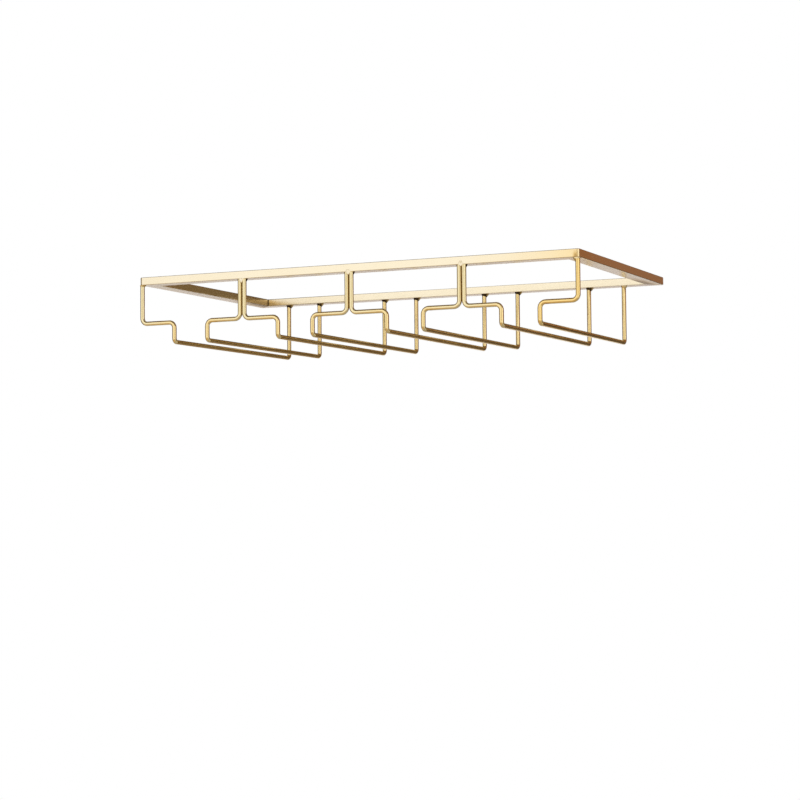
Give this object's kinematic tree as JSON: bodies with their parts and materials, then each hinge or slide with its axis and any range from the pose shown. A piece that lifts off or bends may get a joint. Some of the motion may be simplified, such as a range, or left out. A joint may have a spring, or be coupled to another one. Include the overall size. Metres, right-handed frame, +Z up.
{
  "type": "hanging wine glass rack",
  "caption": "Under-cabinet rack of bent wires on a flat welded frame: upturned stemmed glasses slide in from the front and hang by their feet.",
  "frame": {"origin": "middle of the frame's top plane, where the rack meets the underside of the cabinet", "axes": "+X to the right along the frame's long side, seen from the open front; +Y from the open front to the rear; +Z up to the cabinet"},
  "size_m": [0.42, 0.2304, 0.0615],
  "materials": {
    "frame_gold": "satin pale gold plating on steel tube",
    "wire_gold": "bright pale gold plating on steel wire",
    "weld_gold": "plated weld bead"
  },
  "bodies": {
    "root": {"front_bar": "frame_gold", "rear_bar": "frame_gold", "left_bar": "frame_gold", "right_bar": "frame_gold", "rail_left_1": "wire_gold", "rail_right_1": "wire_gold", "rail_left_2": "wire_gold", "rail_right_2": "wire_gold", "rail_left_3": "wire_gold", "rail_right_3": "wire_gold", "rail_left_4": "wire_gold", "rail_right_4": "wire_gold", "left_end_weld": "weld_gold", "right_end_weld": "weld_gold", "front_weld_1": "weld_gold", "back_weld_1": "weld_gold", "front_weld_2": "weld_gold", "back_weld_2": "weld_gold", "front_weld_3": "weld_gold", "back_weld_3": "weld_gold", "riser_weld_left_1": "weld_gold", "riser_weld_right_1": "weld_gold", "riser_weld_left_2": "weld_gold", "riser_weld_right_2": "weld_gold", "riser_weld_left_3": "weld_gold", "riser_weld_right_3": "weld_gold", "riser_weld_left_4": "weld_gold", "riser_weld_right_4": "weld_gold", "front_left_seam_weld": "weld_gold", "front_right_seam_weld": "weld_gold", "rear_left_seam_weld": "weld_gold", "rear_right_seam_weld": "weld_gold"}
  },
  "joints": []
}
